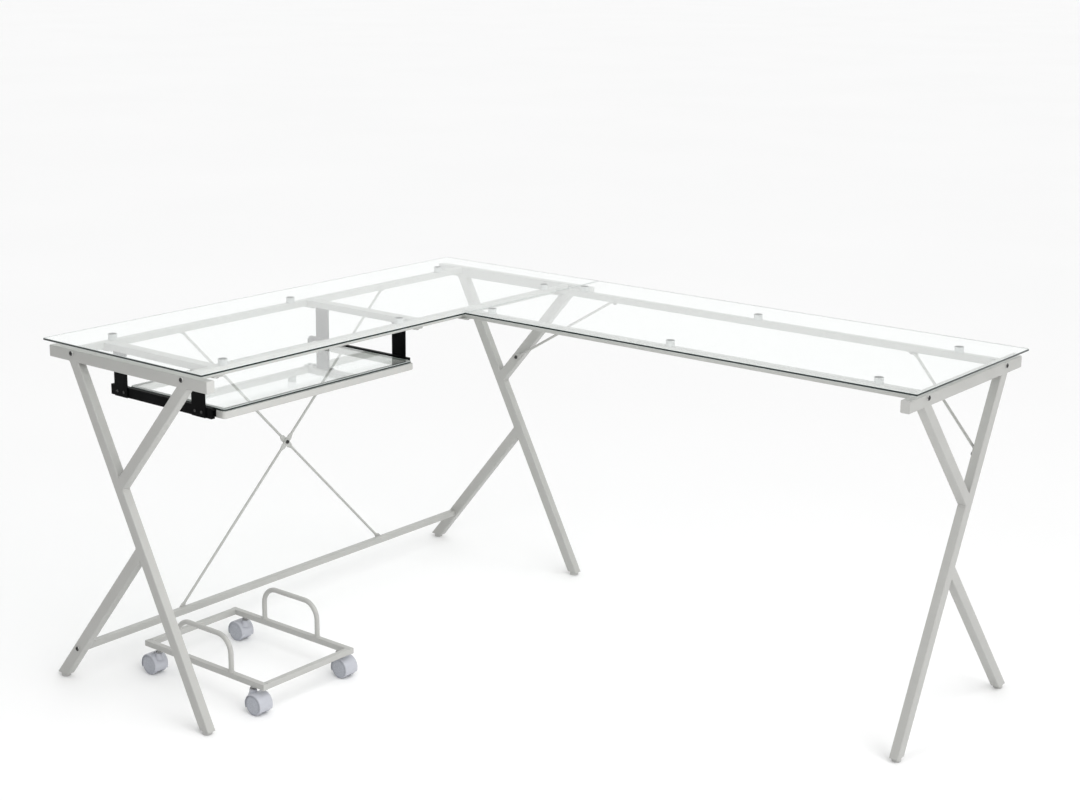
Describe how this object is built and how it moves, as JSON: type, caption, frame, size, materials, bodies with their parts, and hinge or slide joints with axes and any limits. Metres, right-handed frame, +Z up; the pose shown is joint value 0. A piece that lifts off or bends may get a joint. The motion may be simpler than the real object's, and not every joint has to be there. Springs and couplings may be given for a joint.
{
  "type": "corner computer desk with keyboard tray",
  "caption": "L-shaped glass computer desk on crossed steel legs, with a sliding glass keyboard tray and a rolling computer caddy.",
  "frame": {"origin": "middle of the bounding box, on the floor", "axes": "+X runs along the right wing away from the corner, and the tray pulls out along it; +Y points to the back of the right wing; +Z is up"},
  "size_m": [1.6346, 1.2876, 0.76],
  "materials": {
    "clear_glass": "clear tempered glass with ground edges",
    "frame_paint": "satin off-white powder coat on steel tube",
    "pad_plastic": "smoky moulded spacer",
    "plug_plastic": "moulded plug in the frame's colour",
    "glide_plastic": "moulded glide",
    "black_paint": "satin black on pressed steel",
    "dark_steel": "blackened hexagon-socket button heads",
    "zinc_steel": "bright zinc plate",
    "stem_steel": "plated steel",
    "hood_plastic": "pale grey moulding with a blue tint",
    "wheel_plastic": "pale grey moulding with a blue tint"
  },
  "bodies": {
    "desk": {"left_glass_top": "clear_glass", "right_glass_top": "clear_glass", "glass_support_pads": "pad_plastic", "left_end_rail": "frame_paint", "left_long_leg": "frame_paint", "left_upper_strut": "frame_paint", "left_lower_strut": "frame_paint", "corner_end_rail": "frame_paint", "corner_long_leg": "frame_paint", "corner_upper_strut": "frame_paint", "corner_lower_strut": "frame_paint", "right_end_rail": "frame_paint", "right_long_leg": "frame_paint", "right_upper_strut": "frame_paint", "right_lower_strut": "frame_paint", "rail_end_plugs": "plug_plastic", "floor_glides": "glide_plastic", "left_back_rail": "frame_paint", "left_front_rail": "frame_paint", "right_back_rail": "frame_paint", "right_front_rail": "frame_paint", "stretcher": "frame_paint", "falling_brace_rod": "frame_paint", "rising_brace_rod": "frame_paint", "corner_knee_rod": "frame_paint", "right_knee_rod": "frame_paint", "tray_cross_tube_left": "frame_paint", "tray_cross_tube_right": "frame_paint", "joint_plates": "frame_paint", "slide_hangers": "black_paint", "left_slide_outer": "black_paint", "right_slide_outer": "black_paint", "frame_bolts": "dark_steel", "frame_screws": "dark_steel", "slide_screws": "zinc_steel"},
    "slide_middles": {"left_slide_middle": "black_paint", "right_slide_middle": "black_paint"},
    "tray": {"left_slide_inner": "black_paint", "right_slide_inner": "black_paint", "tray_front_tube": "frame_paint", "tray_back_tube": "frame_paint", "tray_left_tube": "frame_paint", "tray_right_tube": "frame_paint", "tray_glass": "clear_glass", "tray_screws": "zinc_steel"},
    "caddy": {"caddy_left_tube": "frame_paint", "caddy_right_tube": "frame_paint", "caddy_back_tube": "frame_paint", "caddy_front_tube": "frame_paint", "caddy_handles": "frame_paint", "caster_stems": "stem_steel"},
    "hood_left_back": {"caster_hood_left_back": "hood_plastic"},
    "hood_left_front": {"caster_hood_left_front": "hood_plastic"},
    "hood_right_back": {"caster_hood_right_back": "hood_plastic"},
    "hood_right_front": {"caster_hood_right_front": "hood_plastic"},
    "wheels_left_back": {"caster_wheels_left_back": "wheel_plastic"},
    "wheels_left_front": {"caster_wheels_left_front": "wheel_plastic"},
    "wheels_right_back": {"caster_wheels_right_back": "wheel_plastic"},
    "wheels_right_front": {"caster_wheels_right_front": "wheel_plastic"}
  },
  "joints": [
    {"name": "tray_slide", "type": "slide", "parent": "desk", "child": "tray", "axis": [1, 0, 0], "range_m": [0, 0.28]},
    {"name": "slide_middle_slide", "type": "slide", "parent": "desk", "child": "slide_middles", "axis": [1, 0, 0], "range_m": [0, 0.14]},
    {"name": "caddy_roll", "type": "slide", "parent": "desk", "child": "caddy", "axis": [1, 0, 0], "range_m": [-0.03, 0.6]},
    {"name": "swivel_left_back", "type": "hinge", "parent": "caddy", "child": "hood_left_back", "pos_m": [-0.64966, -0.48584, 0.05], "axis": [0, 0, 1], "continuous": true},
    {"name": "swivel_left_front", "type": "hinge", "parent": "caddy", "child": "hood_left_front", "pos_m": [-0.34966, -0.48584, 0.05], "axis": [0, 0, 1], "continuous": true},
    {"name": "swivel_right_back", "type": "hinge", "parent": "caddy", "child": "hood_right_back", "pos_m": [-0.64966, -0.23584, 0.05], "axis": [0, 0, 1], "continuous": true},
    {"name": "swivel_right_front", "type": "hinge", "parent": "caddy", "child": "hood_right_front", "pos_m": [-0.34966, -0.23584, 0.05], "axis": [0, 0, 1], "continuous": true},
    {"name": "spin_left_back", "type": "hinge", "parent": "hood_left_back", "child": "wheels_left_back", "pos_m": [-0.66566, -0.48584, 0.022], "axis": [0, 1, 0], "continuous": true},
    {"name": "spin_left_front", "type": "hinge", "parent": "hood_left_front", "child": "wheels_left_front", "pos_m": [-0.33366, -0.48584, 0.022], "axis": [0, 1, 0], "continuous": true},
    {"name": "spin_right_back", "type": "hinge", "parent": "hood_right_back", "child": "wheels_right_back", "pos_m": [-0.66566, -0.23584, 0.022], "axis": [0, 1, 0], "continuous": true},
    {"name": "spin_right_front", "type": "hinge", "parent": "hood_right_front", "child": "wheels_right_front", "pos_m": [-0.33366, -0.23584, 0.022], "axis": [0, 1, 0], "continuous": true}
  ],
  "couplings": [
    {"joint": "slide_middle_slide", "follows": "tray_slide", "ratio": 0.5}
  ]
}
